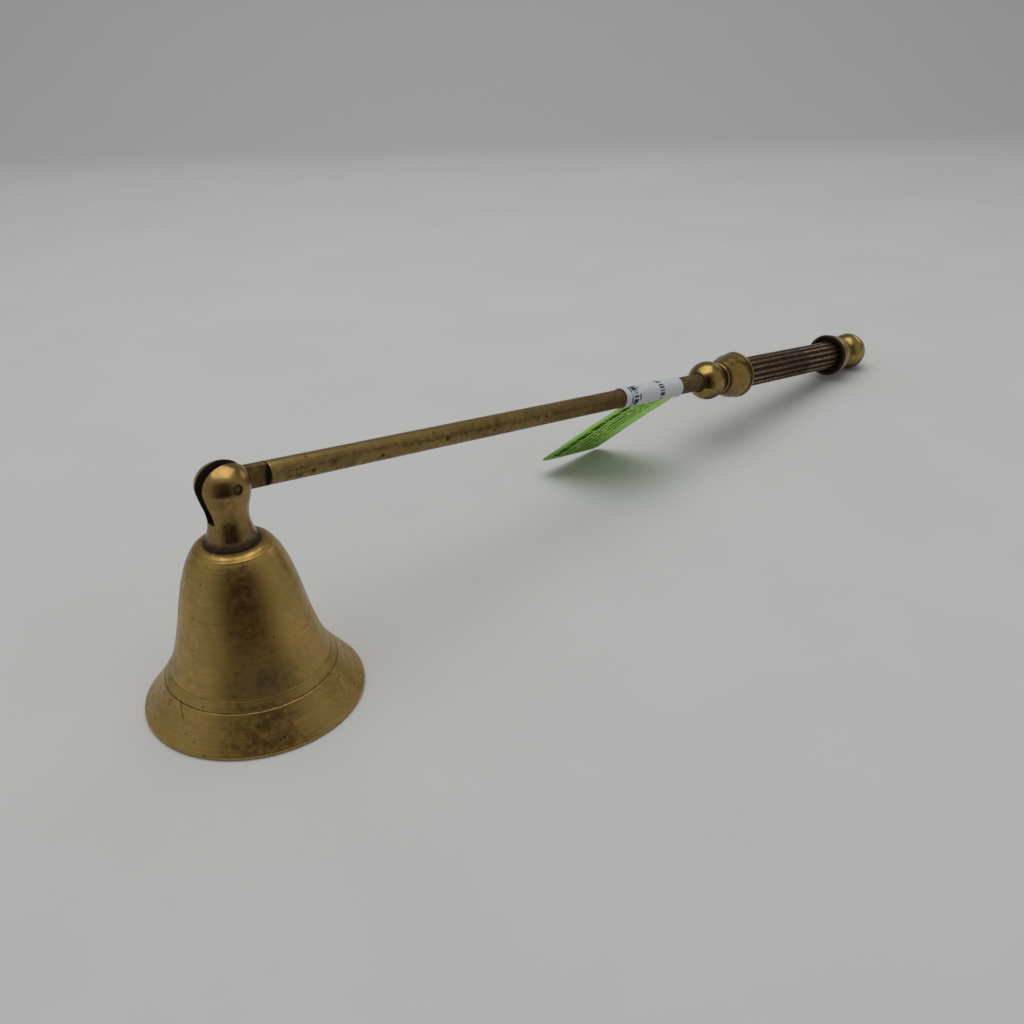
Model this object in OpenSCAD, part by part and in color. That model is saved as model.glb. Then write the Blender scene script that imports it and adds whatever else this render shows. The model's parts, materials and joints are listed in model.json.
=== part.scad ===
// Candle snuffer: a turned brass bell hinged on the end of a long stem with a fluted handle.
//
// The bell stands on its mouth, and the handle's end ball touches the same surface.
// Origin: centre of the mouth, on that surface. +Z is up, along the bell's axis.
// +X is the way the stem heads, seen from above.
// Sizes called "at" are distances along the stem from the hinge pin.

/* [Bell] */
// Outer diameter of the mouth
mouth_d = 44; // [42:0.5:46]
// Height of the crown, where the knuckle stands
crown_z = 35.2; // [34.8:0.1:36]
// Thickness of the turned wall
bell_wall = 1.1; // [0.9:0.1:1.3]
// Depth of the two turned lines above the lip
line_depth = 0.25; // [0.15:0.05:0.4]

/* [Knuckle] */
// Height of the hinge pin above the surface
pin_z = 47.4; // [46.5:0.1:48]
// Radius of the round head that holds the pin
head_r = 5.25; // [5:0.05:5.5]
// Height of the head above its widest ring: it is a little flattened
head_rise = 4.5; // [4.2:0.05:5.2]
// Radius of the narrowest part of the neck
neck_r = 3.9; // [3.7:0.1:4.2]
// Width of the slot that the stem's tongue swings in
slot_w = 2.3; // [2.2:0.1:2.6]
// Depth of the slot below the pin
slot_below_pin = 7.3; // [7:0.1:7.5]
// Diameter of the hinge pin
pin_d = 1.8; // [1.6:0.1:2]
// Gap between the pin and the tongue's bore, on the radius
pin_clearance = 0.05; // [0.02:0.01:0.08]
// Diameter of the screw that holds the knuckle to the bell
screw_d = 3; // [2.5:0.5:3.5]

/* [Stem] */
// Diameter of the stem
stem_d = 4.8; // [4.6:0.1:5]
// Thickness of the tongue milled on the stem's end
tongue_t = 1.9; // [1.6:0.1:1.9]
// Where the tongue ends in a shoulder
shoulder_at = 9.2; // [9:0.1:10.5]
// Diameter of the tail that passes through the handle
tail_d = 3.2; // [2.8:0.1:3.6]

/* [Handle] */
// Radius of the ball in front of the handle
front_ball_r = 5.5; // [5.2:0.1:5.8]
// Where the centre of the front ball is
front_ball_at = 161; // [158:0.5:164]
// Radius of the ball at the handle's end
end_ball_r = 6; // [5.8:0.1:6.4]
// Where the centre of the end ball is
end_ball_at = 249.6; // [244:0.2:256]
// Radius of a cup collar's rim
rim_r = 6.8; // [6.5:0.1:7]
// Length of a cup collar
collar_len = 10.9; // [10.6:0.1:11.2]
// Depth of the recess in a cup collar
recess_depth = 2.2; // [1.8:0.1:2.6]
// Radius of the grip over its lands
grip_r = 4.55; // [4.4:0.05:4.7]
// Number of flutes round the grip
flute_count = 16; // [12:1:20]
// Radius of the cutter that makes a flute
flute_r = 0.75; // [0.6:0.05:0.8]
// Depth of a flute
flute_depth = 0.45; // [0.3:0.05:0.5]

/* [Price tag] */
// Where the tag's wrapped band starts
band_at = 119.6; // [110:0.2:130]
// Width of the tag, along the stem
tag_w = 25.4; // [20:0.2:28]
// Thickness of the tag
tag_t = 0.25; // [0.2:0.05:0.4]
// Length of the flag that hangs from the band
flag_len = 31; // [25:0.5:32]
// Angle of the flag below the horizontal, looking along the stem
flag_drop = 43; // [36:0.5:44]
// Distance that the flag's free edge lies nearer the bell than its root
flag_slide = 2.6; // [0:0.2:8]
// Radius of the flag's two free corners
flag_corner_r = 2; // [1:0.5:4]

/* [Hidden] */

// Circles become true circles; steps is how many pieces a stretch of a curve is divided into.
$fn = 96;
steps = 5;
// How far a cutter runs past the face that it leaves.
over = 1;
// Gap between the tail and the pieces threaded on it, on the radius.
tail_gap = 0.03;

brass = "#B08D45";
old_brass = "#8C7440";
dark_brass = "#6B5A36";
paper_white = "#E4E5E8";
paper_green = "#7FBF45";

mouth_r = mouth_d / 2;
stem_r = stem_d / 2;
tail_r = tail_d / 2;
tail_bore_r = tail_r + tail_gap;
pin_r = pin_d / 2;

// The stem falls from the pin until the end ball touches the surface.
slope = asin((pin_z - end_ball_r) / end_ball_at);

// Handle pieces in order along the stem: each starts where the one before it ends.
ball_face = 4.3;
front_collar_at = front_ball_at + ball_face;
front_rim_at = front_collar_at + collar_len;
end_ball_face_at = end_ball_at - 4.6;
rear_rim_at = end_ball_face_at - collar_len;
grip_at = front_rim_at - recess_depth;
grip_len = rear_rim_at + recess_depth - grip_at;
grip_bore_r = 3;
spigot_len = 2.4;
tail_end_at = end_ball_at + 1.5;

// Points of one smooth stretch from b to c; a and d are the points beside them.
function stretch(a, b, c, d) = [for (i = [0 : steps - 1]) let (t = i / steps)
    0.5 * (2 * b + (c - a) * t + (2 * a - 5 * b + 4 * c - d) * t * t
        + (3 * b - a - 3 * c + d) * t * t * t)];

// Smooth curve through a list of points, from the first to the last.
function curve(p) = let (last = len(p) - 1) [
    for (i = [0 : last - 1])
        for (q = stretch(p[max(i - 1, 0)], p[i], p[i + 1], p[min(i + 2, last)])) q,
    p[last]];

// Arc of radius r round c, from angle from to angle to.
function arc(c, r, from, to, n = 8) = [for (i = [0 : n]) let (a = from + (to - from) * i / n)
    c + r * [cos(a), sin(a)]];

// Direction square to the line p at its point i, to the left of the way it runs.
function left_of(p, i) = let (d = p[min(i + 1, len(p) - 1)] - p[max(i - 1, 0)])
    [-d[1], d[0]] / norm(d);

// The line p moved to its left by t and listed backwards.
function backed(p, t) = [for (i = [len(p) - 1 : -1 : 0]) p[i] + t * left_of(p, i)];

// Outside of the bell as [radius, height], from the lip up to the crown.
lip_r = 0.6;
lip = arc([mouth_r - lip_r, lip_r], lip_r, -90, 50, 6);
skirt = curve([[mouth_r - 0.5, 1.3], [mouth_r - 1.8, 3], [mouth_r - 3.4, 5], [17.2, 7]]);
band = curve([[16.95, 7.4], [16.35, 8.2], [15.95, 8.9]]);
flank = curve([[15.75, 9.3], [14.35, 13], [13.25, 17], [12.1, 22], [10.9, 27], [9.6, 30.8],
    [8.3, 33.3], [7.2, 34.6], [6, crown_z]]);
line_low = [17.1 - line_depth, 7.2];
line_high = [15.85 - line_depth, 9.1];

// Inside of the bell: the same shape without the lines, one wall thickness in, from the crown down.
wall = curve([[mouth_r - 1, 1.6], [mouth_r - 3.4, 5], [16.35, 8.2], [14.35, 13], [13.25, 17], [12.1, 22],
    [10.9, 27], [9.6, 30.8], [8.3, 33.3], [7.2, 34.6]]);
foot_in_r = mouth_r - 1.9;
screw_hole_r = screw_d / 2 + 0.1;
crown_in_z = crown_z - bell_wall;
crown_in_r = 5.4;

// Knuckle: cove, neck and round head, as [radius, height].
foot_r = 5.5;
head_z = pin_z - 0.4;
head_from = -15;
cove = curve([[foot_r, crown_z + 0.4], [4.75, crown_z + 1.4], [neck_r + 0.25, crown_z + 3.1],
    [neck_r, crown_z + 5], [neck_r + 0.25, crown_z + 7], [neck_r + 0.75, crown_z + 8.8],
    [head_r * cos(head_from), head_z + head_rise * sin(head_from)]]);
head = [for (p = arc([0, 0], 1, head_from, 90, 14)) [head_r * p[0], head_z + head_rise * p[1]]];
pin_recess = 0.3;
ear_at_pin = head_r * cos(asin((pin_z - head_z) / head_rise));
screw_socket = 4;

// Washer and screw under the crown, from the crown down.
washer_t = 0.6;
washer_r = 4.4;
screw_head_r = 2.9;
screw_head_h = 1.8;
screw_top_z = crown_z + 3.6;
screw_seat_z = crown_in_z - washer_t;
driver_slot_w = 0.8;
driver_slot_depth = 0.8;

// Puts a shape that is drawn along +Z, from the pin, along the stem.
module along_stem() {
    translate([0, 0, pin_z])
        rotate([0, 90 + slope, 0])
            children();
}

module bell() {
    color(brass)
        rotate_extrude()
            polygon(concat(
                [[foot_in_r, 0]], lip, skirt, [line_low], band, [line_high], flank,
                [[screw_hole_r, crown_z], [screw_hole_r, crown_in_z], [crown_in_r, crown_in_z]],
                backed(wall, bell_wall)));
}

module knuckle() {
    color(brass)
        difference() {
            rotate_extrude()
                polygon(concat([[0, crown_z], [foot_r, crown_z]], cove, head));
            translate([-head_r - over, -slot_w / 2, pin_z - slot_below_pin])
                cube([2 * (head_r + over), slot_w, slot_below_pin + head_r + over]);
            translate([0, 0, pin_z])
                rotate([90, 0, 0])
                    cylinder(h = 2 * (head_r + over), r = pin_r, center = true);
            translate([0, 0, crown_z - over])
                cylinder(h = screw_socket + over, r = screw_d / 2);
        }
}

module knuckle_screw() {
    color(old_brass)
        difference() {
            union() {
                translate([0, 0, screw_seat_z])
                    cylinder(h = screw_top_z - screw_seat_z, r = screw_d / 2);
                rotate_extrude()
                    polygon(concat(
                        [[0, screw_seat_z], [0, screw_seat_z - screw_head_h]],
                        arc([screw_head_r - 1.2, screw_seat_z - screw_head_h + 1.2], 1.2, -90, 0),
                        [[screw_head_r, screw_seat_z]]));
            }
            translate([-screw_head_r - over, -driver_slot_w / 2, screw_seat_z - screw_head_h - over])
                cube([2 * (screw_head_r + over), driver_slot_w, driver_slot_depth + over]);
        }
}

module knuckle_washer() {
    color(old_brass)
        translate([0, 0, screw_seat_z])
            difference() {
                cylinder(h = washer_t, r = washer_r);
                translate([0, 0, -over])
                    cylinder(h = washer_t + 2 * over, r = screw_hole_r);
            }
}

module hinge_pin() {
    color(old_brass)
        translate([0, 0, pin_z])
            rotate([90, 0, 0])
                cylinder(h = 2 * (ear_at_pin - pin_recess), r = pin_r, center = true);
}

// Drawn along +Z: the tongue's round end at the pin, the shoulder, the bar and the thin tail.
module stem() {
    color(old_brass)
        along_stem()
            difference() {
                union() {
                    intersection() {
                        cylinder(h = shoulder_at + over, r = stem_r);
                        translate([-stem_r, -tongue_t / 2, 0])
                            cube([stem_d, tongue_t, shoulder_at + over]);
                    }
                    rotate([90, 0, 0])
                        cylinder(h = tongue_t, r = stem_r - 0.15, center = true);
                    translate([0, 0, shoulder_at])
                        cylinder(h = front_ball_at - shoulder_at, r = stem_r);
                    translate([0, 0, front_ball_at - over])
                        cylinder(h = tail_end_at - front_ball_at + over, r = tail_r);
                }
                rotate([90, 0, 0])
                    cylinder(h = stem_d, r = pin_r + pin_clearance, center = true);
            }
}

// The ball is bored for the stem as far as its centre, and for the tail beyond.
module front_ball() {
    color(brass)
        along_stem()
            translate([0, 0, front_ball_at])
                difference() {
                    union() {
                        intersection() {
                            sphere(r = front_ball_r);
                            translate([0, 0, ball_face - 2 * front_ball_r])
                                cylinder(h = 2 * front_ball_r, r = 2 * front_ball_r);
                        }
                        cylinder(h = ball_face, r = 4);
                    }
                    translate([0, 0, -2 * front_ball_r])
                        cylinder(h = 2 * front_ball_r, r = stem_r);
                    translate([0, 0, -over])
                        cylinder(h = ball_face + 2 * over, r = tail_bore_r);
                }
}

// Cup collar, drawn from the ring beside the ball at z = 0 to the rim round the grip.
module cup_collar() {
    rim_z = collar_len - 0.55;
    ring = arc([4.2, 0.55], 0.55, -90, 90, 6);
    cup = curve([[4.95, 1.9], [5.45, 3.8], [6.1, 6], [6.4, 7.5], [6.45, 9]]);
    rim_bead = arc([rim_r - 0.55, rim_z], 0.55, -80, 90, 6);
    rim_in_r = rim_r - 0.9;
    floor_z = collar_len - recess_depth;
    difference() {
        rotate_extrude()
            polygon(concat(
                [[0, 0]], ring, [[4.35, 1.5], [4.6, 1.7]], cup, [[6.25, 9.5]], rim_bead,
                [[rim_in_r, collar_len], [rim_in_r - 0.4, floor_z], [grip_bore_r - tail_gap, floor_z],
                    [grip_bore_r - tail_gap, floor_z + spigot_len], [0, floor_z + spigot_len]]));
        translate([0, 0, -over])
            cylinder(h = floor_z + spigot_len + 2 * over, r = tail_bore_r);
    }
}

module front_collar() {
    color(brass)
        along_stem()
            translate([0, 0, front_collar_at])
                cup_collar();
}

module rear_collar() {
    color(brass)
        along_stem()
            translate([0, 0, end_ball_face_at])
                mirror([0, 0, 1])
                    cup_collar();
}

module grip() {
    flute_turn = 360 / flute_count;
    flute_at = grip_r - flute_depth + flute_r;
    color(dark_brass)
        along_stem()
            translate([0, 0, grip_at])
                linear_extrude(height = grip_len)
                    difference() {
                        circle(r = grip_r);
                        circle(r = grip_bore_r);
                        for (i = [0 : flute_count - 1])
                            rotate([0, 0, i * flute_turn])
                                translate([flute_at, 0])
                                    circle(r = flute_r);
                    }
}

// The ball is tapped for the tail's end, and its flat face closes on the collar's ring.
module end_ball() {
    color(brass)
        along_stem()
            difference() {
                union() {
                    translate([0, 0, end_ball_at])
                        sphere(r = end_ball_r);
                    translate([0, 0, end_ball_face_at])
                        cylinder(h = end_ball_at - end_ball_face_at, r = 4.2);
                }
                translate([0, 0, end_ball_face_at - end_ball_r])
                    cylinder(h = end_ball_r, r = 2 * end_ball_r);
                translate([0, 0, end_ball_face_at - over])
                    cylinder(h = tail_end_at + tail_gap - end_ball_face_at + over, r = tail_bore_r);
            }
}

module tag_band() {
    color(paper_white)
        along_stem()
            translate([0, 0, band_at])
                difference() {
                    cylinder(h = tag_w, r = stem_r + tag_t);
                    translate([0, 0, -over])
                        cylinder(h = tag_w + 2 * over, r = stem_r);
                }
}

// The flag's outline lies in a plane through the band's underside: x runs from the root out,
// y runs along the stem, and the free edge is slid towards the bell.
module tag_flag() {
    c = flag_corner_r;
    outline = concat(
        [[0, 0]],
        arc([flag_len - c, c - flag_slide], c, -90, 0, 5),
        arc([flag_len - c, tag_w - c - flag_slide], c, 0, 90, 5),
        [[0, tag_w]]);
    color(paper_green)
        along_stem()
            translate([stem_r + tag_t, 0, band_at])
                rotate([0, 0, 90 - flag_drop])
                    rotate([90, 0, 0])
                        linear_extrude(height = tag_t)
                            polygon(outline);
}

bell();
knuckle();
knuckle_screw();
knuckle_washer();
hinge_pin();
stem();
front_ball();
front_collar();
grip();
rear_collar();
end_ball();
tag_band();
tag_flag();
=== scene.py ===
"""Looks of a brass candle snuffer with a hinged bell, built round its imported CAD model."""

import json
import math
import random

import bmesh
import bpy
import numpy as np
from mathutils import Matrix, Vector, noise


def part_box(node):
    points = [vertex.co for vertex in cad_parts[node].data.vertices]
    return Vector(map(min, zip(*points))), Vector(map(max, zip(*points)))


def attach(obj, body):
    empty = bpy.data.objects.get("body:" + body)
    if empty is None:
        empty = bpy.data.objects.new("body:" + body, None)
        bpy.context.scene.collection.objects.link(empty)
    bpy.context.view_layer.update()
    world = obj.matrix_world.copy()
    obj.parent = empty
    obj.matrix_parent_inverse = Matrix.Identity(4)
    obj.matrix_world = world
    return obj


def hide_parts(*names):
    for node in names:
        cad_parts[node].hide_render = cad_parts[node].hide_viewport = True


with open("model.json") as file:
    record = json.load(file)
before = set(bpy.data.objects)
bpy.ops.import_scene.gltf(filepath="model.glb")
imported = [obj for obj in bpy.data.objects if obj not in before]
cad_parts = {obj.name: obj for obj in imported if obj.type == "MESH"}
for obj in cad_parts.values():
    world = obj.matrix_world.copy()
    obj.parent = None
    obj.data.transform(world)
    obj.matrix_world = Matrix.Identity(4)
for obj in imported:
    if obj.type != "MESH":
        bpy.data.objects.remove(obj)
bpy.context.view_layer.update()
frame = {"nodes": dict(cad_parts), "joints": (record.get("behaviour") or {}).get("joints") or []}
nodes = frame["nodes"]
MM = 0.001


# ---------------------------------------------------------------- places, from the frame

PIN = Vector(frame["joints"][0]["pos_m"])
ball_low, ball_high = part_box("end_ball")
END_BALL_R = (ball_high.z - ball_low.z) / 2
END_BALL = Vector((ball_high.x - END_BALL_R, 0, ball_low.z + END_BALL_R))
ALONG = (END_BALL - PIN).normalized()
SIDE = Vector((0, 1, 0))
# The stem's own frame: z from the pin along the stem, y as the row's, x on the stem's underside.
STEM = Matrix.Translation(PIN) @ Matrix((SIDE.cross(ALONG), SIDE, ALONG)).transposed().to_4x4()
PIN_Z = PIN.z / MM


def span(node):
    """Start, end and greatest radius of a handle node, in mm in the stem's frame."""
    points = [STEM.inverted() @ v.co for v in nodes[node].data.vertices]
    along = [p.z / MM for p in points]
    return min(along), max(along), max(math.hypot(p.x, p.y) for p in points) / MM


bell_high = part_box("bell")[1]
MOUTH_R = bell_high.x / MM
CROWN_Z = bell_high.z / MM


def at(distance):
    """Place on the stem, a distance in mm from the pin."""
    return STEM @ Matrix.Translation((0, 0, distance * MM))


# ---------------------------------------------------------------- outlines

def outline_point(p):
    """A point of an outline: radius, height and a darkening value, which is 0 where it is left out; on some
    outlines that value is painted shade.
    """
    return Vector((p[0], p[1], p[2] if len(p) > 2 else 0))


def curve(points, steps=6):
    """Smooth line through a few points, as Catmull-Rom stretches."""
    points = [outline_point(p) for p in points]
    line = []
    last = len(points) - 1
    for i in range(last):
        a, b, c, d = (points[j] for j in (max(i - 1, 0), i, i + 1, min(i + 2, last)))
        for k in range(steps):
            t = k / steps
            line.append(0.5 * (2 * b + (c - a) * t + (2 * a - 5 * b + 4 * c - d) * t ** 2
                               + (3 * b - a - 3 * c + d) * t ** 3))
    return line + [points[last]]


def arc(centre, r, start, end, steps=8, dirt_and_shade=0):
    """Arc of radius r round a centre, in degrees."""
    angles = [math.radians(start + (end - start) * i / steps) for i in range(steps + 1)]
    return [Vector((centre[0] + r * math.cos(a), centre[1] + r * math.sin(a), dirt_and_shade)) for a in angles]


def inside(line, wall):
    """The line moved to its left by the wall's thickness, listed backwards."""
    moved = []
    for i, p in enumerate(line):
        way = line[min(i + 1, len(line) - 1)] - line[max(i - 1, 0)]
        left = Vector((-way.y, way.x, 0)).normalized()
        moved.append(p + left * wall)
    return moved[::-1]


def refine(line, step, fine_heights=(), fine_step=0.07, reach=0.35):
    """Divides a line until no stretch is longer than the step, or the fine step near some heights."""
    line = [outline_point(p) for p in line]
    result = [line[0]]
    for a, b in zip(line, line[1:]):
        near = any(min(a.y, b.y) - reach < h < max(a.y, b.y) + reach for h in fine_heights)
        length = (b - a).xy.length
        count = max(1, math.ceil(length / (fine_step if near else step)))
        result += [a.lerp(b, k / count) for k in range(1, count + 1)]
    return result


def groove(line, height, depth, width, soiling_and_shade):
    """Turns a narrow round line into an outline at a height, and fills it with soiling."""
    cut = []
    for p in line:
        share = math.exp(-((p.y - height) / width) ** 2)
        cut.append(Vector((p.x - depth * share, p.y, max(p.z, share * soiling_and_shade))))
    return cut


# ---------------------------------------------------------------- meshes

def smooth(piece, angle=35):
    """Smooth shading, with creases sharper than the angle kept."""
    piece.data.polygons.foreach_set("use_smooth", [True] * len(piece.data.polygons))
    piece.data.set_sharp_from_angle(angle=math.radians(angle))
    piece.data.update()
    return piece


def set_values(piece, name, values):
    """Writes a number for each vertex, for the materials to read."""
    attribute = piece.data.attributes.get(name) or piece.data.attributes.new(name, "FLOAT", "POINT")
    attribute.data.foreach_set("value", np.asarray(values, np.float32))


def set_flat(piece, values):
    """The sheet's flat coordinates for each vertex: along the print, across it, and in from the edge."""
    attribute = piece.data.attributes.new("flat", "FLOAT_VECTOR", "POINT")
    attribute.data.foreach_set("vector", np.array(values, np.float32).ravel())


def add_piece(name, vertices, faces, place=None):
    """A mesh object from points in mm, put in the scene at a place."""
    mesh = bpy.data.meshes.new(name)
    mesh.from_pydata([Vector(v) * MM for v in vertices], [], faces)
    piece = bpy.data.objects.new(name, mesh)
    bpy.context.scene.collection.objects.link(piece)
    piece.matrix_world = place or Matrix.Identity(4)
    return piece


def round_point(r, angle, z):
    return Vector((r * math.cos(angle), r * math.sin(angle), z))


def lathe(name, outline, place=None, segments=128, shape=round_point):
    """Turns an outline round z: ends on the axis are closed, and an outline off the axis is a ring."""
    rings, vertices, dirt_and_shade, faces = [], [], [], []
    for r, z, soiling_and_shade in (outline_point(p) for p in outline):
        count = 1 if r < 1e-6 else segments
        rings.append([len(vertices) + k % count for k in range(segments)])
        vertices += [shape(r, 2 * math.pi * k / segments, z) for k in range(count)]
        dirt_and_shade += [soiling_and_shade] * count
    pairs = list(zip(rings, rings[1:]))
    if outline[0][0] > 1e-6 and outline[-1][0] > 1e-6:
        pairs.append((rings[-1], rings[0]))
    for low, high in pairs:
        for k in range(segments):
            n = (k + 1) % segments
            corners = [low[k], low[n], high[n], high[k]]
            face = [c for j, c in enumerate(corners) if c not in corners[:j]]
            if len(face) > 2:
                faces.append(face)
    piece = add_piece(name, vertices, faces, place)
    set_values(piece, "dirt_and_shade", dirt_and_shade)
    return piece


def read_vertices(piece, what, of):
    """Positions or normals of every vertex, as rows of x, y, z."""
    values = np.zeros(len(of) * 3)
    of.foreach_get(what, values)
    return values.reshape(-1, 3)


def press(piece, marks):
    """Presses pits and scratches into a surface. A mark is start, end, radius, depth, all mm, and a darkening
    value, which on some marks is painted shade.
    """
    mesh = piece.data
    points = read_vertices(piece, "co", mesh.vertices) / MM
    normals = read_vertices(piece, "vector", mesh.vertex_normals)
    dirt_and_shade = np.zeros(len(mesh.vertices))
    mesh.attributes["dirt_and_shade"].data.foreach_get("value", dirt_and_shade)
    sunk = np.zeros(len(points))
    for start, end, radius, depth, soiling_and_shade in marks:
        start, way = np.array(start), np.array(end) - np.array(start)
        t = np.clip((points - start) @ way / max(way @ way, 1e-9), 0, 1)
        away = points - start - t[:, None] * way
        near = np.exp(-np.sum(away ** 2, 1) / radius ** 2)
        sunk = np.maximum(sunk, near * depth) if depth > 0 else sunk + near * depth
        dirt_and_shade = np.maximum(dirt_and_shade, near * soiling_and_shade)
    points = (points - normals * sunk[:, None]) * MM
    mesh.vertices.foreach_set("co", points.ravel())
    set_values(piece, "dirt_and_shade", dirt_and_shade)
    mesh.update()


def soil_and_shade(piece, rule):
    """Darkening for each vertex, in places painted shade, from a rule on its place in mm."""
    set_values(piece, "dirt_and_shade", [rule(v.co / MM) for v in piece.data.vertices])


def apply_modifiers(piece):
    """Makes what the modifiers show the piece's own mesh."""
    shown = piece.evaluated_get(bpy.context.evaluated_depsgraph_get())
    piece.data = bpy.data.meshes.new_from_object(shown)
    piece.modifiers.clear()


def cut_away(piece, *cutters):
    """Cuts closed meshes out of a piece, and removes them."""
    for cutter in cutters:
        modifier = piece.modifiers.new("cut", "BOOLEAN")
        modifier.operation = "DIFFERENCE"
        modifier.solver = "EXACT"
        modifier.object = cutter
    apply_modifiers(piece)
    for cutter in cutters:
        bpy.data.objects.remove(cutter)


def soften_edges(piece, width, angle=50):
    """Small round bevel on every edge sharper than the angle."""
    bevel = piece.modifiers.new("soft_edges", "BEVEL")
    bevel.width = width * MM
    bevel.segments = 3
    bevel.limit_method = "ANGLE"
    bevel.angle_limit = math.radians(angle)
    apply_modifiers(piece)


def box_between(name, low, high):
    """A closed box, to cut with."""
    corners = [(x, y, z) for x in (low[0], high[0]) for y in (low[1], high[1]) for z in (low[2], high[2])]
    faces = [(0, 1, 3, 2), (4, 6, 7, 5), (0, 4, 5, 1), (2, 3, 7, 6), (0, 2, 6, 4), (1, 5, 7, 3)]
    return add_piece(name, corners, faces)


def finish_piece(piece, node, body, material, angle=35):
    """Dresses a piece, hides the CAD node that it stands for, and lets it move with a body."""
    piece.data.materials.clear()
    piece.data.materials.append(material)
    smooth(piece, angle)
    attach(piece, body)
    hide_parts(node)


# ---------------------------------------------------------------- shader trees

class Nodes:
    """Builds a material's shader tree with short calls. Every number and colour can be a socket."""

    def __init__(self, name):
        self.material = bpy.data.materials.new(name)
        self.material.use_nodes = True
        self.tree = self.material.node_tree
        self.shader = self.tree.nodes["Principled BSDF"]

    def add(self, kind, settings=None, **inputs):
        made = self.tree.nodes.new("ShaderNode" + kind)
        for key, value in (settings or {}).items():
            setattr(made, key, value)
        for key, value in inputs.items():
            self.put(made.inputs[int(key[1:]) if key[1:].isdigit() else key], value)
        return made

    def put(self, socket, value):
        if isinstance(value, bpy.types.NodeSocket):
            self.tree.links.new(value, socket)
        else:
            socket.default_value = value

    def set(self, **values):
        for key, value in values.items():
            self.put(self.shader.inputs[key.replace("_", " ")], value)

    def millimetres(self, stretch=(1, 1, 1)):
        """The piece's own coordinates in mm, with each axis scaled."""
        place = self.add("TexCoord").outputs["Object"]
        return self.add("Mapping", Vector=place, Scale=[s / MM for s in stretch]).outputs[0]

    def noise(self, where, scale=1.0, detail=4.0, roughness=0.55):
        made = self.add("TexNoise", Vector=where, Scale=scale, Detail=detail, Roughness=roughness)
        return made.outputs[0]

    def math(self, operation, a, b=0.0, c=0.0):
        return self.add("Math", {"operation": operation}, i0=a, i1=b, i2=c).outputs[0]

    def step(self, value, low, high, start=0.0, end=1.0):
        """Smooth step from start to end, as the value goes from low to high."""
        smoothly = {"interpolation_type": "SMOOTHSTEP"}
        return self.add("MapRange", smoothly, i0=value, i1=low, i2=high, i3=start, i4=end).outputs[0]

    def mix(self, share, first, second):
        colours = [c if isinstance(c, bpy.types.NodeSocket) else (*c, 1) for c in (first, second)]
        made = self.add("Mix", {"data_type": "RGBA"}, i0=share, i6=colours[0], i7=colours[1])
        return made.outputs[2]

    def attribute(self, name):
        return self.add("Attribute", {"attribute_name": name})

    def bump(self, height, distance, strength=1.0):
        made = self.add("Bump", Height=height, Distance=distance * MM, Strength=strength)
        self.put(self.shader.inputs["Normal"], made.outputs[0])


# ---------------------------------------------------------------- brass

BRASS = (0.50, 0.315, 0.092)
OLIVE = (0.41, 0.285, 0.082)
BROWN = (0.27, 0.155, 0.065)
# Dark colour for soiling, also used as painted shade where a piece's darkening value asks for it.
GRIME_AND_SHADE = (0.036, 0.020, 0.012)


def brass(name, clean=BRASS, tarnish=OLIVE, stain=BROWN, age=0.5, roughness=0.32,
          grain=(0.08, 0.08, 4.0), turned=True, stains=0.6):
    """Old brass: patches of tarnish, stains, tool lines along the grain, specks, and a dark soiling colour
    where the mesh's darkening value calls for it; on some pieces that value is painted shade.
    """
    n = Nodes(name)
    place = n.millimetres()
    clouds = n.noise(place, 0.13, 3)
    mottle = n.noise(place, 0.75, 6, 0.62)
    lines = n.noise(n.millimetres(grain), 1.0, 5, 0.6)
    dirt_and_shade = n.attribute("dirt_and_shade").outputs["Fac"]

    blotches = n.math("MULTIPLY_ADD", mottle, 0.45, n.math("MULTIPLY", clouds, 0.55))
    dull = n.step(blotches, 0.52 - 0.2 * age, 0.74 - 0.2 * age)
    stained = n.step(n.noise(place, 0.22, 6, 0.6), 0.64 - 0.16 * age, 0.90 - 0.16 * age)
    cells = n.add("TexVoronoi", Vector=place, Scale=0.55).outputs["Distance"]
    where_pitted = n.step(n.noise(place, 0.4, 2), 0.5, 0.6)
    specks = n.math("MULTIPLY", n.step(cells, 0.16, 0.07), where_pitted)
    # Mask for the dark colour: real soiling, plus the painted shade and painted reflection carried in some
    # pieces' darkening value.
    grime_and_shade = n.step(n.math("MULTIPLY_ADD", mottle, 0.5, dirt_and_shade), 0.45, 1.1)

    colour = n.mix(dull, clean, tarnish)
    colour = n.mix(n.math("MULTIPLY", stained, stains), colour, stain)
    colour = n.mix(n.step(lines, 0.40, 0.75, 0.0, 0.45), colour, stain)
    colour = n.mix(n.math("MULTIPLY", specks, 0.7), colour, GRIME_AND_SHADE)
    colour = n.mix(grime_and_shade, colour, GRIME_AND_SHADE)

    rough = n.math("MULTIPLY_ADD", dull, 0.10, n.step(mottle, 0.3, 0.7, roughness - 0.04, roughness + 0.05))
    rough = n.math("MULTIPLY_ADD", grime_and_shade, 0.30, n.math("MULTIPLY_ADD", stained, 0.10, rough))
    relief = n.math("MULTIPLY_ADD", lines, 0.8, n.math("MULTIPLY_ADD", specks, -1.2, mottle))
    n.set(Base_Color=colour, Metallic=n.step(grime_and_shade, 0.0, 1.0, 1.0, 0.35), Roughness=rough)
    n.set(Specular_IOR_Level=0.2)
    n.bump(relief, 0.03, 0.45)
    if turned:
        n.set(Anisotropic=0.45, Anisotropic_Rotation=0.25)
        n.set(Tangent=n.add("Tangent", {"direction_type": "RADIAL", "axis": "Z"}).outputs[0])
    return n.material


# ---------------------------------------------------------------- paper

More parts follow.
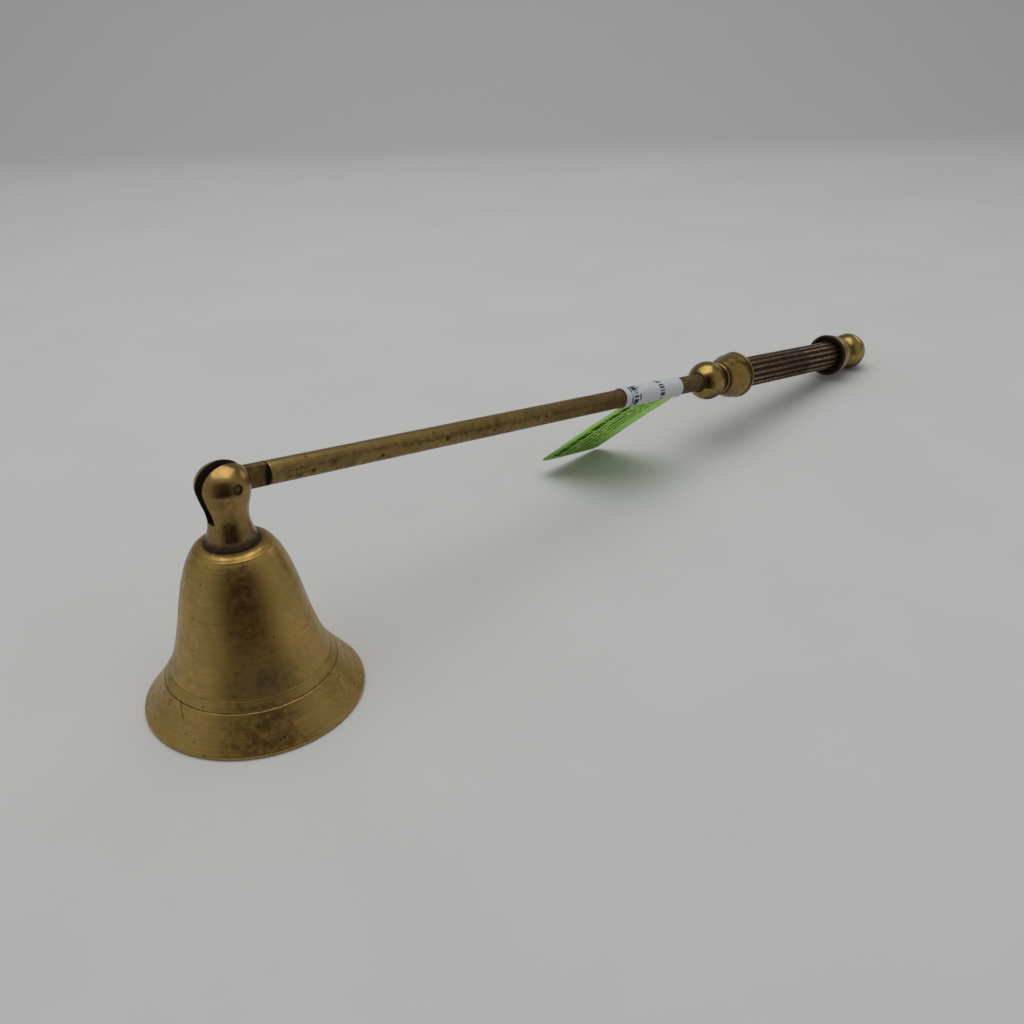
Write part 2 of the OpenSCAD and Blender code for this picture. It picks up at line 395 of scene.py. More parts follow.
def printed_rows(n, across, along, rows):
    """Generic print: dark dashes in rows. A row is its middle, its height and its dashes' length, in mm."""
    ink = 0.0
    for i, (middle, height, dash) in enumerate(rows):
        off = n.math("ABSOLUTE", n.math("SUBTRACT", across, middle))
        row = n.step(off, height / 2 + 0.06, height / 2 - 0.06)
        lengthwise = n.add("CombineXYZ", i0=n.math("MULTIPLY", along, 0.5 / dash), i1=7.3 * i)
        dashes = n.step(n.noise(lengthwise.outputs[0], 1.0, 2, 0.8), 0.43, 0.47)
        ink = n.math("MAXIMUM", ink, n.math("MULTIPLY", row, dashes))
    return ink


def paper(name, colour, ink_colour, rows, border_colour=None, see_through=0):
    """Coated paper with generic rows of dashes. The sheet's own flat coordinates are in the mesh."""
    n = Nodes(name)
    place = n.millimetres()
    flat = n.add("SeparateXYZ", i0=n.attribute("flat").outputs["Vector"])
    along, across, edge = flat.outputs[0], flat.outputs[1], flat.outputs[2]
    fibres = n.noise(place, 3.0, 5, 0.6)
    clouds = n.noise(place, 0.25, 2)
    shade = n.mix(n.step(clouds, 0.3, 0.7, 0.0, 0.12), colour, tuple(c * 0.8 for c in colour))
    if border_colour:
        shade = n.mix(n.math("MAXIMUM", n.step(edge, 1.4, 1.1), n.step(across, 16, 23, 0.0, 0.8)),
                      shade, border_colour)
        # Darker towards the free end: painted shade of the curl that turns from the light.
        shade = n.mix(n.step(along, 16, 30, 0.0, 0.75), shade, tuple(c * 0.45 for c in colour))
    shade = n.mix(n.step(fibres, 0.45, 0.75, 0.0, 0.10), shade, tuple(c * 0.6 for c in colour))
    ink = n.math("MULTIPLY", printed_rows(n, across, along, rows), n.step(edge, 1.5, 2.0))
    shade = n.mix(n.math("MULTIPLY", ink, 0.95), shade, ink_colour)
    n.set(Base_Color=shade, Roughness=n.step(fibres, 0.3, 0.7, 0.5, 0.62), Specular_IOR_Level=0.3)
    if see_through:
        n.set(Transmission_Weight=see_through, IOR=1.05)
    n.bump(fibres, 0.01, 0.4)
    return n.material


def floor_material():
    """Matt pale card with a faint mottle, painted greyer where it sweeps up: painted shade of the dimmer
    backdrop.
    """
    n = Nodes("floor")
    mottle = n.noise(n.millimetres(), 0.02, 5)
    pale = n.mix(n.step(mottle, 0.3, 0.7), (0.625, 0.625, 0.615), (0.645, 0.645, 0.635))
    # The upswept part is painted greyer: painted shade standing in for the weaker light there.
    swept_shade = n.step(n.add("SeparateXYZ", i0=n.millimetres()).outputs[2], 0.2, 14.0, 0.0, 0.85)
    n.set(Base_Color=n.mix(swept_shade, pale, (0.50, 0.50, 0.50)))
    n.set(Roughness=0.75, Specular_IOR_Level=0.1)
    return n.material


# ---------------------------------------------------------------- camera, floor and light

def add_camera():
    """The photograph's viewpoint: beside the bell, looking down along the stem."""
    heading, pitch, roll = math.radians(44.2), math.radians(28.0), math.radians(-1.5)
    forward = Vector((math.cos(heading) * math.cos(pitch), math.sin(heading) * math.cos(pitch),
                      -math.sin(pitch)))
    right = Vector((math.sin(heading), -math.cos(heading), 0))
    up = right.cross(forward)
    camera = bpy.data.objects.new("camera", bpy.data.cameras.new("camera"))
    bpy.context.scene.collection.objects.link(camera)
    bpy.context.scene.camera = camera
    side = right * math.cos(roll) + up * math.sin(roll)
    top = up * math.cos(roll) - right * math.sin(roll)
    turn = Matrix((side, top, -forward)).transposed().to_4x4()
    camera.matrix_world = Matrix.Translation(Vector((-88.9, -160.6, 133.0)) * MM) @ turn
    camera.data.sensor_width = 36
    camera.data.lens = 37.3
    camera.data.clip_start = 0.005
    return heading


def add_panel(name, place, target, size, power, colour=(1, 1, 1)):
    """A rectangular lamp facing a point."""
    lamp = bpy.data.lights.new(name, "AREA")
    lamp.shape = "RECTANGLE"
    lamp.size, lamp.size_y = size
    lamp.energy = power
    lamp.color = colour
    holder = bpy.data.objects.new(name, lamp)
    bpy.context.scene.collection.objects.link(holder)
    holder.location = place
    holder.rotation_euler = (Vector(target) - Vector(place)).to_track_quat("-Z", "Y").to_euler()


def dark_card_material():
    """Near-black card that thins out to nothing at its sides and top."""
    n = Nodes("dark_card")
    flat = n.add("SeparateXYZ", i0=n.attribute("flat").outputs["Vector"])
    sides = n.step(n.math("ABSOLUTE", flat.outputs[0]), 1.0, 0.25)
    solid = n.math("MULTIPLY", sides, n.step(flat.outputs[1], 1.0, 0.65))
    n.set(Base_Color=(0.085, 0.058, 0.048, 1), Roughness=0.9, Specular_IOR_Level=0, Alpha=solid)
    return n.material


def add_dark_card(name, centre, radius, heading, half_width, height):
    """Stands close round one side of the object. Only reflections see it: it makes brass read as metal."""
    steps = 24
    vertices, flat = [], []
    for i in range(steps + 1):
        across = 2 * i / steps - 1
        angle = math.radians(heading + half_width * across)
        for up in range(9):
            x, y = centre.x / MM + radius * math.cos(angle), centre.y / MM + radius * math.sin(angle)
            vertices.append((x, y, 0.5 + height * up / 8))
            flat.append((across, up / 8, 0))
    faces = [(9 * i + k, 9 * i + k + 1, 9 * i + k + 10, 9 * i + k + 9) for i in range(steps) for k in range(8)]
    card = add_piece(name, vertices, faces)
    set_flat(card, flat)
    card.data.materials.append(dark_card_material())
    only_in_reflections(card)


def add_reflector(name, centre, heading, elevation, distance, size, brightness):
    """A soft pale board beside the object, seen only by reflections. It faces the centre."""
    n = Nodes(name)
    flat = n.add("SeparateXYZ", i0=n.attribute("flat").outputs["Vector"])
    sides = n.step(n.math("ABSOLUTE", flat.outputs[0]), 1.0, 0.3)
    solid = n.math("MULTIPLY", sides, n.step(n.math("ABSOLUTE", flat.outputs[1]), 1.0, 0.3))
    n.set(Base_Color=(0, 0, 0, 1), Emission_Color=(1, 0.98, 0.93, 1), Emission_Strength=brightness, Alpha=solid)
    turn, rise = math.radians(heading), math.radians(elevation)
    way = Vector((math.cos(turn) * math.cos(rise), math.sin(turn) * math.cos(rise), math.sin(rise)))
    corners = [(-1, -1, 0), (1, -1, 0), (1, 1, 0), (-1, 1, 0)]
    place = Matrix.Translation(centre + way * distance) @ way.to_track_quat("Z", "Y").to_matrix().to_4x4()
    board = add_piece(name, [(x * size[0] / 2 / MM, y * size[1] / 2 / MM, 0) for x, y, _ in corners],
                      [(0, 1, 2, 3)], place)
    set_flat(board, corners)
    board.data.materials.append(n.material)
    only_in_reflections(board)


def only_in_reflections(board):
    board.visible_camera = False
    board.visible_diffuse = False
    board.visible_shadow = False


def add_floor(centre, ahead, across):
    """A pale floor that sweeps up far behind the object."""
    sweep = [(-3.0, 0.0), (0.42, 0.0)]
    sweep += [(0.42 + 0.5 * math.sin(a), 0.5 - 0.5 * math.cos(a))
              for a in (math.radians(9 * i) for i in range(1, 11))]
    sweep += [(0.92, 2.5)]
    vertices = [(centre + ahead * d + across * w + Vector((0, 0, z))) / MM
                for d, z in sweep for w in (-4, 4)]
    faces = [(2 * i, 2 * i + 1, 2 * i + 3, 2 * i + 2) for i in range(len(sweep) - 1)]
    floor = add_piece("floor", vertices, faces)
    floor.data.materials.append(floor_material())
    smooth(floor, 80)


def add_studio(heading):
    """A pale floor, an even pale surround, a soft lamp overhead and a dark card in front."""
    centre = Vector((0.1, 0, 0))
    ahead = Vector((math.cos(heading), math.sin(heading), 0))
    across = Vector((math.sin(heading), -math.cos(heading), 0))
    add_floor(centre, ahead, across)
    world = bpy.data.worlds.new("studio")
    world.use_nodes = True
    world.node_tree.nodes["Background"].inputs["Color"].default_value = (0.98, 0.99, 1.0, 1)
    world.node_tree.nodes["Background"].inputs["Strength"].default_value = 0.40
    bpy.context.scene.world = world
    add_panel("top_panel", (0.13, 0.11, 0.75), (0.09, 0.07, 0), (0.8, 0.8), 3.0)
    add_reflector("right_reflector", Vector((0.12, 0, 0)), -6, 24, 0.8, (0.66, 0.36), 1.15)
    add_dark_card("bell_card", Vector((0, 0, 0)), 55, -119, 70, 125)
    for node in ("front_ball", "end_ball"):
        low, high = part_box(node)
        add_dark_card(node + "_card", (low + high) / 2, 36, -140, 62, 78)
    bpy.context.scene.view_settings.view_transform = "Standard"


# ---------------------------------------------------------------- bell

LINE_LOW = 7.2
LINE_HIGH = 9.1
SHOULDER = 34.3


def bell_outline():
    """Two lines: the lip and the outside up to the crown, then the screw hole and the inside back down."""
    lip_r = 0.6
    lip = arc((MOUTH_R - lip_r, lip_r), lip_r, -90, 25, 7)
    outside = curve([(MOUTH_R - 0.5, 1.35), (MOUTH_R - 1.8, 3), (MOUTH_R - 3.4, 5), (17.2, 7),
                     (16.4, 8.2), (15.75, 9.3), (14.35, 13), (13.25, 17), (12.1, 22), (10.9, 27),
                     (9.6, 30.8), (8.3, 33.3), (7.2, 34.6, 0.1), (6.4, 35.05, 0.38), (5.4, CROWN_Z, 0.65)])
    outside = refine(lip + outside, 0.34, (LINE_LOW, LINE_HIGH, SHOULDER), 0.09)
    outside = groove(outside, LINE_LOW, 0.15, 0.13, 0.75)
    outside = groove(outside, LINE_HIGH, 0.10, 0.11, 0.5)
    outside = groove(outside, SHOULDER, -0.08, 0.12, 0)
    wall = curve([(MOUTH_R - 1, 1.6), (MOUTH_R - 3.4, 5), (16.35, 8.2), (14.35, 13), (13.25, 17),
                  (12.1, 22), (10.9, 27), (9.6, 30.8), (8.3, 33.3), (7.2, 34.6)])
    within = inside(wall, 1.1)
    for p in within:
        p.z = 0.45
    hole = [(1.6, CROWN_Z, 1), (1.6, CROWN_Z - 1.1, 1), (5.4, CROWN_Z - 1.1, 0.7)]
    foot = [(MOUTH_R - 1.9, 0, 0.7)]
    return outside, refine([outline_point(p) for p in hole] + within + foot, 1.5)


def bell_place(outline, degrees, height):
    """Point on the bell's outside, in mm."""
    r = min(outline, key=lambda p: abs(p.y - height)).x
    return round_point(r, math.radians(degrees), height)


def bell_marks(outline):
    """The pits, dents and scratches that the skirt shows, broad darker patches (two of them painted dark
    reflection), then small ones all round it.
    """
    marks = []
    for degrees, height, radius, depth in [
            (-150.5, 0.9, 0.28, 0.10), (-126.5, 1.1, 0.32, 0.12), (-122.5, 1.7, 0.30, 0.12),
            (-113.5, 1.7, 0.30, 0.12), (-111.5, 2.3, 0.50, 0.10), (-109.3, 2.6, 0.50, 0.10),
            (-52, 2.7, 0.36, 0.16), (-164.5, 3.3, 0.25, 0.08), (-57, 5.6, 0.22, 0.06)]:
        p = bell_place(outline, degrees, height)
        marks.append((p, p, radius, depth, 1.0))
    for start, end, radius, depth, dirt_and_shade in [
            ((-177, 7.1), (-170, 5.1), 0.30, 0.16, 0.75), ((-171, 4.9), (-167, 3.6), 0.22, 0.07, 0.5),
            ((-121, 4.6), (-105, 3.3), 0.25, -0.035, 0.0), ((-178, 8.8), (-171, 7.6), 0.2, 0.06, 0.5),
            ((-66, 12.0), (-60, 16.5), 0.15, 0.03, 0.3)]:
        marks.append((bell_place(outline, *start), bell_place(outline, *end), radius, depth, dirt_and_shade))
    # Broad darker patches. The two at -121 and -111 degrees, on the side facing the camera, are painted dark
    # reflection rather than soiling.
    for degrees, height, radius, dirt_and_shade in [(-121, 28.5, 6, 0.26), (-111, 12, 7, 0.66), (-128, 5, 4, 0.25),
                                          (-66, 5, 6, 0.44), (70, 20, 8, 0.35), (160, 10, 7, 0.35)]:
        p = bell_place(outline, degrees, height)
        marks.append((p, p, radius, 0, dirt_and_shade))
    draw = random.Random(11)
    for i in range(46):
        degrees = draw.uniform(-45, 175)
        height = abs(draw.gauss(0, 6)) + 0.8
        p = bell_place(outline, degrees, min(height, 31))
        size = draw.uniform(0.2, 0.45)
        marks.append((p, p, size, size * 0.3, draw.uniform(0.3, 1)))
    return marks


def bell_shape(r, angle, z):
    """The turned wall with the faint unevenness of a thin casting."""
    p = round_point(r, angle, z)
    uneven = 0.10 * noise.noise(p * 0.11) + 0.03 * noise.noise(p * 0.45)
    return round_point(r + uneven * min(1, z / 3), angle, z)


def make_bell():
    outside, within = bell_outline()
    bell = lathe("bell_shell", outside + within, segments=384, shape=bell_shape)
    press(bell, bell_marks(outside))
    finish_piece(bell, "bell", "bell", bell_brass, 50)


# ---------------------------------------------------------------- knuckle and hinge

HEAD_R = 5.25
HEAD_Z = PIN_Z - 0.4
HEAD_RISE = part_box("knuckle")[1].z / MM - HEAD_Z
SLOT_W = 2.3
SLOT_BELOW = 7.3
PIN_R = 0.9


def knuckle_outline():
    """Foot, cove, neck and round head of the piece that holds the pin."""
    foot = [(0, CROWN_Z), (5.3, CROWN_Z), (5.5, CROWN_Z + 0.15)]
    head = [Vector((HEAD_R * p.x, HEAD_Z + HEAD_RISE * p.y, 0)) for p in arc((0, 0), 1, -15, 90, 36)]
    cove = curve([(5.5, 35.6), (4.75, 36.6), (4.15, 38.3), (3.9, 40.2), (4.15, 42.2), (4.65, 44.0), head[0]])
    return foot + cove + head[1:]


def knuckle_dirt_and_shade(p):
    """Painted shade in the slot, darker round the pin, soiling round the foot, and a stain down the neck's
    front.
    """
    # Inside the slot the darkening is full: painted shade of the narrow slot.
    beside = max(0.0, abs(p.y) - SLOT_W / 2 - 0.03)
    below = max(0.0, PIN_Z - SLOT_BELOW - 0.03 - p.z)
    slot = 1.0 if beside + below == 0 else 0.6 * math.exp(-math.hypot(beside, below) / 0.22)
    off_pin = math.hypot(p.x, p.z - PIN_Z)
    pin = 0.65 * math.exp(-((off_pin - PIN_R) / 0.35) ** 2) if off_pin > PIN_R else 1.0
    foot = 0.80 * math.exp(-((p.z - CROWN_Z - 0.5) / 1.5) ** 2)
    front = Vector((-0.75, -0.66))
    facing = max(0, Vector((p.x, p.y)).normalized().dot(front)) if p.xy.length > 0.1 else 0
    stain = 0.25 * facing ** 6 * math.exp(-((p.z - CROWN_Z - 1.6) / 1.5) ** 2)
    neck = 0.34 * math.exp(-((p.z - CROWN_Z - 3.2) / 2.2) ** 2)
    return max(slot, pin, foot, stain, neck)


def make_knuckle():
    knuckle = lathe("knuckle_body", refine(knuckle_outline(), 0.35), segments=120)
    slot = box_between("slot", (-7, -SLOT_W / 2, PIN_Z - SLOT_BELOW), (7, SLOT_W / 2, PIN_Z + 7))
    lying = Matrix.Translation((0, 0, PIN.z)) @ Matrix.Rotation(math.radians(90), 4, "X")
    bore = lathe("bore", [(0, -8), (PIN_R + 0.04, -8), (PIN_R + 0.04, 8), (0, 8)], lying, 48)
    socket = lathe("socket", [(0, 30), (1.5, 30), (1.5, CROWN_Z + 4), (0, CROWN_Z + 4)], segments=32)
    cut_away(knuckle, slot, bore, socket)
    soften_edges(knuckle, 0.10)
    soil_and_shade(knuckle, knuckle_dirt_and_shade)
    finish_piece(knuckle, "knuckle", "bell", knuckle_brass, 40)


def make_hinge_pin():
    """The pin's ends are filed round and lie just below the head's surface."""
    low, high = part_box("hinge_pin")
    half = (high.y - low.y) / 2 / MM
    end = [(0, half, 0.5), (0.5, half - 0.01, 0.55), (0.78, half - 0.08, 0.75), (PIN_R, half - 0.28, 1)]
    outline = [(r, -y, dirt_and_shade) for r, y, dirt_and_shade in end] + [(PIN_R, 0, 1)] + end[::-1]
    lying = Matrix.Translation((0, 0, PIN.z)) @ Matrix.Rotation(math.radians(90), 4, "X")
    pin = lathe("pin", outline, lying, 48)
    finish_piece(pin, "hinge_pin", "bell", stem_brass)


# ---------------------------------------------------------------- stem

STEM_R = 2.4
TONGUE_T = 1.9
TAIL_R = 1.6
stem_points = [STEM.inverted() @ v.co / MM for v in nodes["stem"].data.vertices]
SHOULDER_AT = min(p.z for p in stem_points if abs(p.y) > TONGUE_T)


def stem_outline(end):
    """Tongue with its round end, shoulder, bar and the tail through the handle."""
    tip = [(0.0001, -2.25, 0.8)] + [(2.25 * math.sin(a), -2.25 * math.cos(a), 0.8)
                                    for a in (math.radians(6 * i) for i in range(1, 15))]
    tongue = refine([(STEM_R - 0.12, 0, 0.9), (STEM_R, 5.2, 0.5), (STEM_R, SHOULDER_AT - 0.6, 0.40),
                     (STEM_R, SHOULDER_AT, 1)], 0.35)
    # The shoulder's step face is darkened in full: painted shade of a face turned from the light.
    shoulder = [(STEM_R - 0.2, SHOULDER_AT + 0.001, 1), (STEM_R - 0.05, SHOULDER_AT + 0.05, 0.6)]
    bar = refine([(STEM_R, SHOULDER_AT + 0.2, 0.2), (STEM_R, SHOULDER_AT + 2, 0.05), (STEM_R, 60, 0.3),
                  (STEM_R, 110, 0.46), (STEM_R, front_ball_at - 9, 0.56), (STEM_R, front_ball_at, 0.7)], 0.45)
    tail = [(STEM_R, front_ball_at + 0.01, 1), (TAIL_R, front_ball_at + 0.02, 1), (TAIL_R, end, 1), (0, end, 1)]
    return tip + tongue + shoulder + bar + tail


def stem_shape(r, angle, z):
    """Round bar, hardly uneven, with two flats milled on it before the shoulder."""
    p = round_point(r, angle, z)
    if z <= SHOULDER_AT:
        return Vector((p.x, max(-TONGUE_T / 2, min(TONGUE_T / 2, STEM_R * math.sin(angle))), z))
    return round_point(r + 0.025 * noise.noise(Vector((p.x, p.y, z * 0.12)) * 0.5), angle, z)


def stem_marks():
    """A dark streak along the side, partly tarnish and partly a painted dark reflection, and small pits."""
    marks = []
    draw = random.Random(5)
    # The streaks near -110 degrees run along the side facing the camera: partly tarnish, partly a painted
    # reflection of the dark horizon.
    for degrees, start, end, dirt_and_shade in [(-106, 10, 24, 0.30), (-114, 22, 44, 0.38), (-106, 42, 70, 0.50),
                                      (-110, 66, 96, 0.50), (-104, 90, 118, 0.58), (-60, 12, 50, 0.30),
                                      (70, 20, 80, 0.5), (150, 35, 110, 0.55), (20, 60, 118, 0.5)]:
        ends = [round_point(STEM_R, math.radians(degrees), z) for z in (start, end)]
        marks.append((*ends, 0.75, 0.0, dirt_and_shade))
        for _ in range(8):
            turn, z = math.radians(degrees + draw.uniform(-14, 14)), draw.uniform(start, end)
            blot = [round_point(STEM_R, turn, z + d) for d in (0, draw.uniform(1.5, 5))]
            marks.append((*blot, draw.uniform(0.25, 0.5), 0.0, draw.uniform(0.35, 0.55)))
    pits = [(-76, 19), (-76, 36.6), (-92, 55), (-84, 70), (-100, 88)]
    pits += [(draw.uniform(-180, 180), draw.uniform(12, 116)) for _ in range(40)]
    for i, (degrees, z) in enumerate(pits):
        p = round_point(STEM_R, math.radians(degrees), z)
        size = 0.5 if i < 5 else draw.uniform(0.15, 0.35)
        marks.append((p, p, size, size * 0.3, 1.0))
    return marks


def make_stem():
    stem = lathe("stem_bar", stem_outline(span("stem")[1]), STEM, 72, stem_shape)
    press(stem, stem_marks())
    finish_piece(stem, "stem", "handle", stem_brass, 45)


# ---------------------------------------------------------------- handle

BALL_FACE = 4.3
end_ball_face, _, end_ball_r = span("end_ball")
front_ball_start, front_ball_end, front_ball_r = span("front_ball")
front_ball_at = front_ball_end - BALL_FACE


def slightly_uneven(size):
    """A round shape with faint dents, so that its highlights break up."""
    def shape(r, angle, z):
        p = round_point(r, angle, z)
        return round_point(r + size * noise.noise(p * 0.6) + size * 0.4 * noise.noise(p * 1.7), angle, z)
    return shape


def painted_shade_below(r):
    """A soft mark for press: painted shade on a ball's underside, in place of the shadowed floor that it
    reflects.
    """
    low = (0.75 * r, -0.55 * r, 0)
    return low, low, 0.8 * r, 0, 0.78


def make_front_ball():
    """Drawn from the side that the stem enters to the face on the collar."""
    r = front_ball_r
    start = math.degrees(math.acos((STEM_R + 0.15) / r))
    stop = math.degrees(math.asin(BALL_FACE / r))
    ball = arc((0, 0), r, -start, stop, 44)
    ball[0].z = 1
    ball[1].z = 0.7
    ball[2].z = 0.3
    ball[-1].z = 1
    ball[-2].z = 0.8
    ball[-3].z = 0.3
    bore = [(STEM_R + 0.02, ball[0].y + 0.25, 1), (STEM_R + 0.02, 0, 1)]
    outline = [(TAIL_R, 0, 1), (TAIL_R, BALL_FACE, 1), (2.6, BALL_FACE, 1)]
    piece = lathe("front_ball_body", [*bore[::-1], *ball, *outline[::-1]], at(front_ball_at), 112,
                  slightly_uneven(0.05))
    press(piece, [painted_shade_below(r)])
    finish_piece(piece, "front_ball", "handle", polished_brass)


def cup_outline(length, bead_dirt):
    """Ring, groove, flared cup, groove and rim bead, then the recess that holds the grip, darkened in full as
    painted shade.
    """
    ring = arc((4.2, 0.62), 0.52, -80, 80, 10)
    ring[0].z = ring[-1].z = 0.9
    neck = [(4.3, 1.25, 1), (4.32, 1.5, 1), (4.5, 1.72, 0.8)]
    cup = curve([(4.85, 1.9, 0.5), (5.12, 2.7, 0.25), (5.5, 4.0), (6.1, 6.0), (6.38, 7.3), (6.46, 8.6),
                 (6.44, 9.3, 0.1)])
    gap = [(6.30, 9.5, 0.65), (6.24, 9.7, 0.8), (6.28, 9.9, 0.65)]
    bead = arc((6.32, length - 0.46), 0.44, -80, 100, 14, bead_dirt)
    bead[0].z = 0.8
    # The recess is darkened in full: painted shade of the hollow round the grip.
    recess = [(5.95, length - 0.15, 0.6), (5.85, length - 0.45, 1), (5.6, length - 1.6, 1),
              (5.45, length - 2.2, 1), (2.97, length - 2.2, 1), (2.97, length + 0.2, 1),
              (1.65, length + 0.2, 1), (1.65, 0.02, 1), (3.9, 0.02, 1)]
    return refine([*ring, *neck, *cup, *gap, *bead, *recess], 0.5)


def make_collar(name, node, place, length, bead_dirt):
    collar = lathe(name, cup_outline(length, bead_dirt), place, 128, slightly_uneven(0.03))
    finish_piece(collar, node, "handle", collar_brass, 40)


def flute_radius(angle):
    """The grip's radius: hollow flutes between narrow lands whose edges are worn round."""
    across = abs((angle / FLUTE_TURN) % 1 - 0.5) * 2
    hollow = max(0.0, 1 - (1 - across) ** 2 / 0.62)
    return GRIP_R - 0.45 * hollow ** 0.75


GRIP_R = 4.55
FLUTES = 16
FLUTE_TURN = 2 * math.pi / FLUTES


def make_grip():
    """Fluted sleeve: every flute differs a little in depth, and soiling lies along its bottom; near both ends,
    inside the cups, it is darkened as painted shade.
    """
    start, end, _ = span("grip")
    length = end - start
    draw = random.Random(3)
    deep = [draw.uniform(0.8, 1.12) for _ in range(FLUTES)]

    def shape(r, angle, z):
        if r < GRIP_R - 1:
            return round_point(r, angle, z)
        flute = int(angle / FLUTE_TURN + 1e-6) % FLUTES
        cut = (GRIP_R - flute_radius(angle)) * deep[flute]
        worn = 0.05 * max(0.0, noise.noise(Vector((math.cos(angle) * 3, math.sin(angle) * 3, z * 0.35))))
        return round_point(GRIP_R - cut - worn, angle, z)

    outside = refine([(GRIP_R, 0), (GRIP_R, length)], 0.9)
    outline = outside + [outline_point((3.0, length)), outline_point((3.0, 0))]
    grip = lathe("grip_sleeve", outline, at(start), FLUTES * 14, shape)

    def dirt_and_shade(p):
        r = p.xy.length
        low = (GRIP_R - r) / 0.45
        # Darker towards both ends, where the grip runs into the cups: painted shade.
        shade_in_cups = math.exp(-min(p.z, length - p.z) / 2.2)
        return min(1.0, max(0.0, low) ** 0.8 * 1.15 + 0.7 * shade_in_cups)

    soil_and_shade(grip, dirt_and_shade)
    finish_piece(grip, "grip", "handle", grip_brass, 60)


def make_end_ball():
    """Ball with a flat face on the collar, and the soiling of the joint between them."""
    centre = end_ball_face + 4.6
    r = END_BALL_R / MM
    start = -math.degrees(math.asin(4.6 / r))
    ball = arc((0, 0), r, start, 90, 48)
    ball[0].z = 1
    ball[1].z = 0.7
    ball[2].z = 0.3
    ball[-1].x = 0
    piece = lathe("end_ball_body", [(0, -4.6, 1), *ball], at(centre), 112, slightly_uneven(0.05))
    press(piece, [painted_shade_below(r)])
    finish_piece(piece, "end_ball", "handle", polished_brass)


# ---------------------------------------------------------------- price tag

TAG_T = 0.25


def make_tag_band():
    """Paper wrapped once round the stem, not quite tight, with its far end a little open."""
    start, end, _ = span("tag_band")
    width = end - start

    def shape(r, angle, z):
        loose = 0.07 * math.sin(2 * angle + 0.6) + 0.05 * noise.noise(Vector((angle, 0, z * 0.2)))
        flare = 0.16 * math.exp(-(width - z) / 1.2) + 0.07 * math.exp(-z / 1.0)
        return round_point(r + 0.04 + loose * 0.5 + flare, angle, z)

    line = refine([(STEM_R + TAG_T, 0), (STEM_R + TAG_T, width)], 0.5)
    line += [outline_point(p) for p in refine([(STEM_R + 0.05, width), (STEM_R + 0.05, 0)], 0.5)]
    band = lathe("tag_wrap", line, at(start), 72, shape)
    flat = []
    for v in band.data.vertices:
        p = v.co / MM
        around = math.atan2(p.y, p.x) * STEM_R
        flat.append((around, p.z, 9 if p.xy.length > STEM_R + 0.15 else 0))
    set_flat(band, flat)
    finish_piece(band, "tag_band", "handle", white_paper, 50)


def make_tag_flag():
    """The tag's free part: a stiff sheet that leaves the band's underside and curls a little."""
    start, end, _ = span("tag_flag")
    root, band_end, _ = span("tag_band")
    width = band_end - root
    slide = root - start
    low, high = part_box("tag_flag")
    out = Vector((math.cos(math.radians(47)), math.sin(math.radians(47)), 0))
    out_y = out.y
    length = high.y / MM / out_y
    face = Vector((out.y, -out.x, 0))
    corner = 2.0
    across, lengthwise = 30, 38
    vertices, flat, faces = [], [], []
    for side in (0, 1):
        for i in range(lengthwise + 1):
            u = length * i / lengthwise
            left = u - (length - corner)
            inset = corner - math.sqrt(max(0.0, corner ** 2 - left ** 2)) if left > 0 else 0.0
            for k in range(across + 1):
                v = inset + (width - 2 * inset) * k / across
                curl = -0.20 * math.sin(math.pi * u / length) - 0.15 * (u / length) ** 2 * math.cos(v * 0.2)
                lift = curl + 0.10 * noise.noise(Vector((u * 0.15, v * 0.15, 0)))
                shift = face * (TAG_T * side + min(lift, 0.0))
                p = Vector((STEM_R + TAG_T - 0.05, 0, root)) + out * u + shift
                p.z += v - slide * u / length
                vertices.append(p)
                edge = min(v, width - v, length - u)
                flat.append((u, v, edge))
    row = across + 1
    layer = row * (lengthwise + 1)
    for i in range(lengthwise):
        for k in range(across):
            a = i * row + k
            faces.append((a, a + 1, a + row + 1, a + row))
            b = a + layer
            faces.append((b, b + row, b + row + 1, b + 1))
    rim = [k for k in range(row)]
    rim += [i * row + across for i in range(1, lengthwise + 1)]
    rim += [lengthwise * row + k for k in range(across - 1, -1, -1)]
    rim += [i * row for i in range(lengthwise - 1, 0, -1)]
    for a, b in zip(rim, rim[1:] + rim[:1]):
        faces.append((a, a + layer, b + layer, b))
    flag = add_piece("tag_sheet", vertices, faces, STEM)
    set_flat(flag, flat)
    finish_piece(flag, "tag_flag", "handle", green_paper, 50)


# ---------------------------------------------------------------- everything

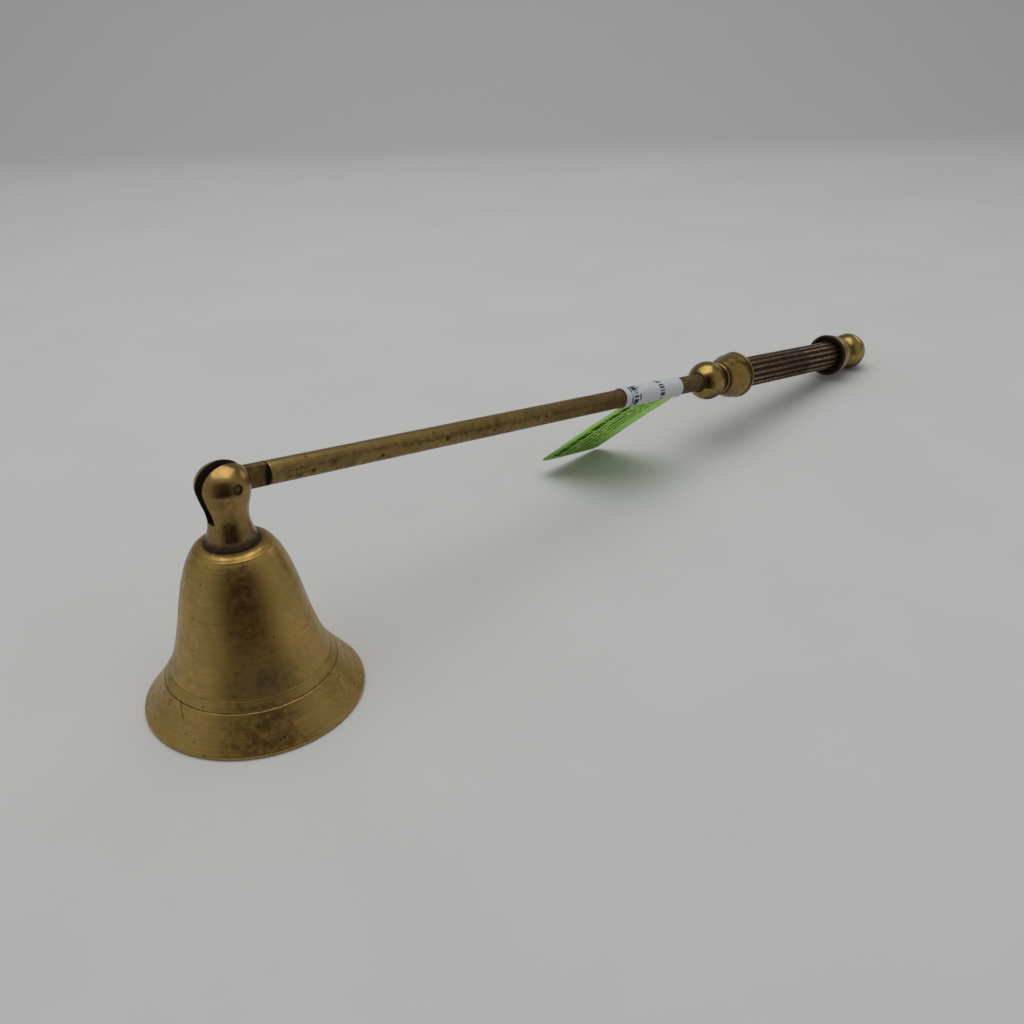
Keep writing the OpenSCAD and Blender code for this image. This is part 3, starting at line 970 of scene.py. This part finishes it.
bell_brass = brass("bell_brass", age=0.5, roughness=0.35, stains=0.35)
knuckle_brass = brass("knuckle_brass", clean=(0.37, 0.235, 0.075), tarnish=(0.31, 0.20, 0.068), age=0.6,
                      roughness=0.22, grain=(0.3, 0.3, 4.0))
stem_brass = brass("stem_brass", clean=(0.35, 0.23, 0.08), tarnish=(0.26, 0.17, 0.056),
                   stain=(0.11, 0.07, 0.03), age=0.85, roughness=0.38, grain=(1.2, 1.2, 0.06), turned=False)
polished_brass = brass("polished_brass", clean=(0.40, 0.27, 0.08), tarnish=(0.29, 0.20, 0.052),
                       age=0.55, roughness=0.17, grain=(0.3, 0.3, 3.0))
collar_brass = brass("collar_brass", clean=(0.34, 0.225, 0.065), tarnish=(0.26, 0.175, 0.048),
                     stain=(0.17, 0.09, 0.045), age=0.6, roughness=0.21, grain=(0.2, 0.2, 4.0))
grip_brass = brass("grip_brass", clean=(0.42, 0.29, 0.155), tarnish=(0.27, 0.175, 0.095),
                   stain=(0.08, 0.05, 0.03), age=0.7, roughness=0.34, grain=(2.0, 2.0, 0.08), turned=False)
hidden_brass = brass("hidden_brass", age=0.9, roughness=0.45, turned=False)
white_paper = paper("white_paper", (0.57, 0.59, 0.61), (0.012, 0.012, 0.015),
                    [(2.4, 0.6, 1.6), (4.1, 2.0, 0.5), (5.9, 0.6, 1.6), (15.9, 2.0, 0.4)])
green_paper = paper("green_paper", (0.52, 0.90, 0.18), (0.008, 0.05, 0.010),
                    [(5.0, 3.4, 0.7), (9.0, 1.1, 0.7), (11.6, 1.3, 0.9), (14.4, 0.9, 0.6), (17.0, 0.9, 0.8)],
                    border_colour=(0.60, 0.93, 0.32), see_through=0.2)

heading = add_camera()
add_studio(heading)
make_bell()
make_knuckle()
make_hinge_pin()
make_stem()
make_front_ball()
make_grip()
collar_start, collar_end, _ = span("front_collar")
collar_length = collar_end - collar_start
make_collar("front_cup", "front_collar", at(collar_start), collar_length, 0.15)
rear_end = span("rear_collar")[1]
turned_round = Matrix.Rotation(math.pi, 4, "X")
make_collar("rear_cup", "rear_collar", at(rear_end) @ turned_round, collar_length, 0.85)
make_end_ball()
make_tag_band()
make_tag_flag()
for node in ("knuckle_screw", "knuckle_washer"):
    nodes[node].data.materials.clear()
    nodes[node].data.materials.append(hidden_brass)
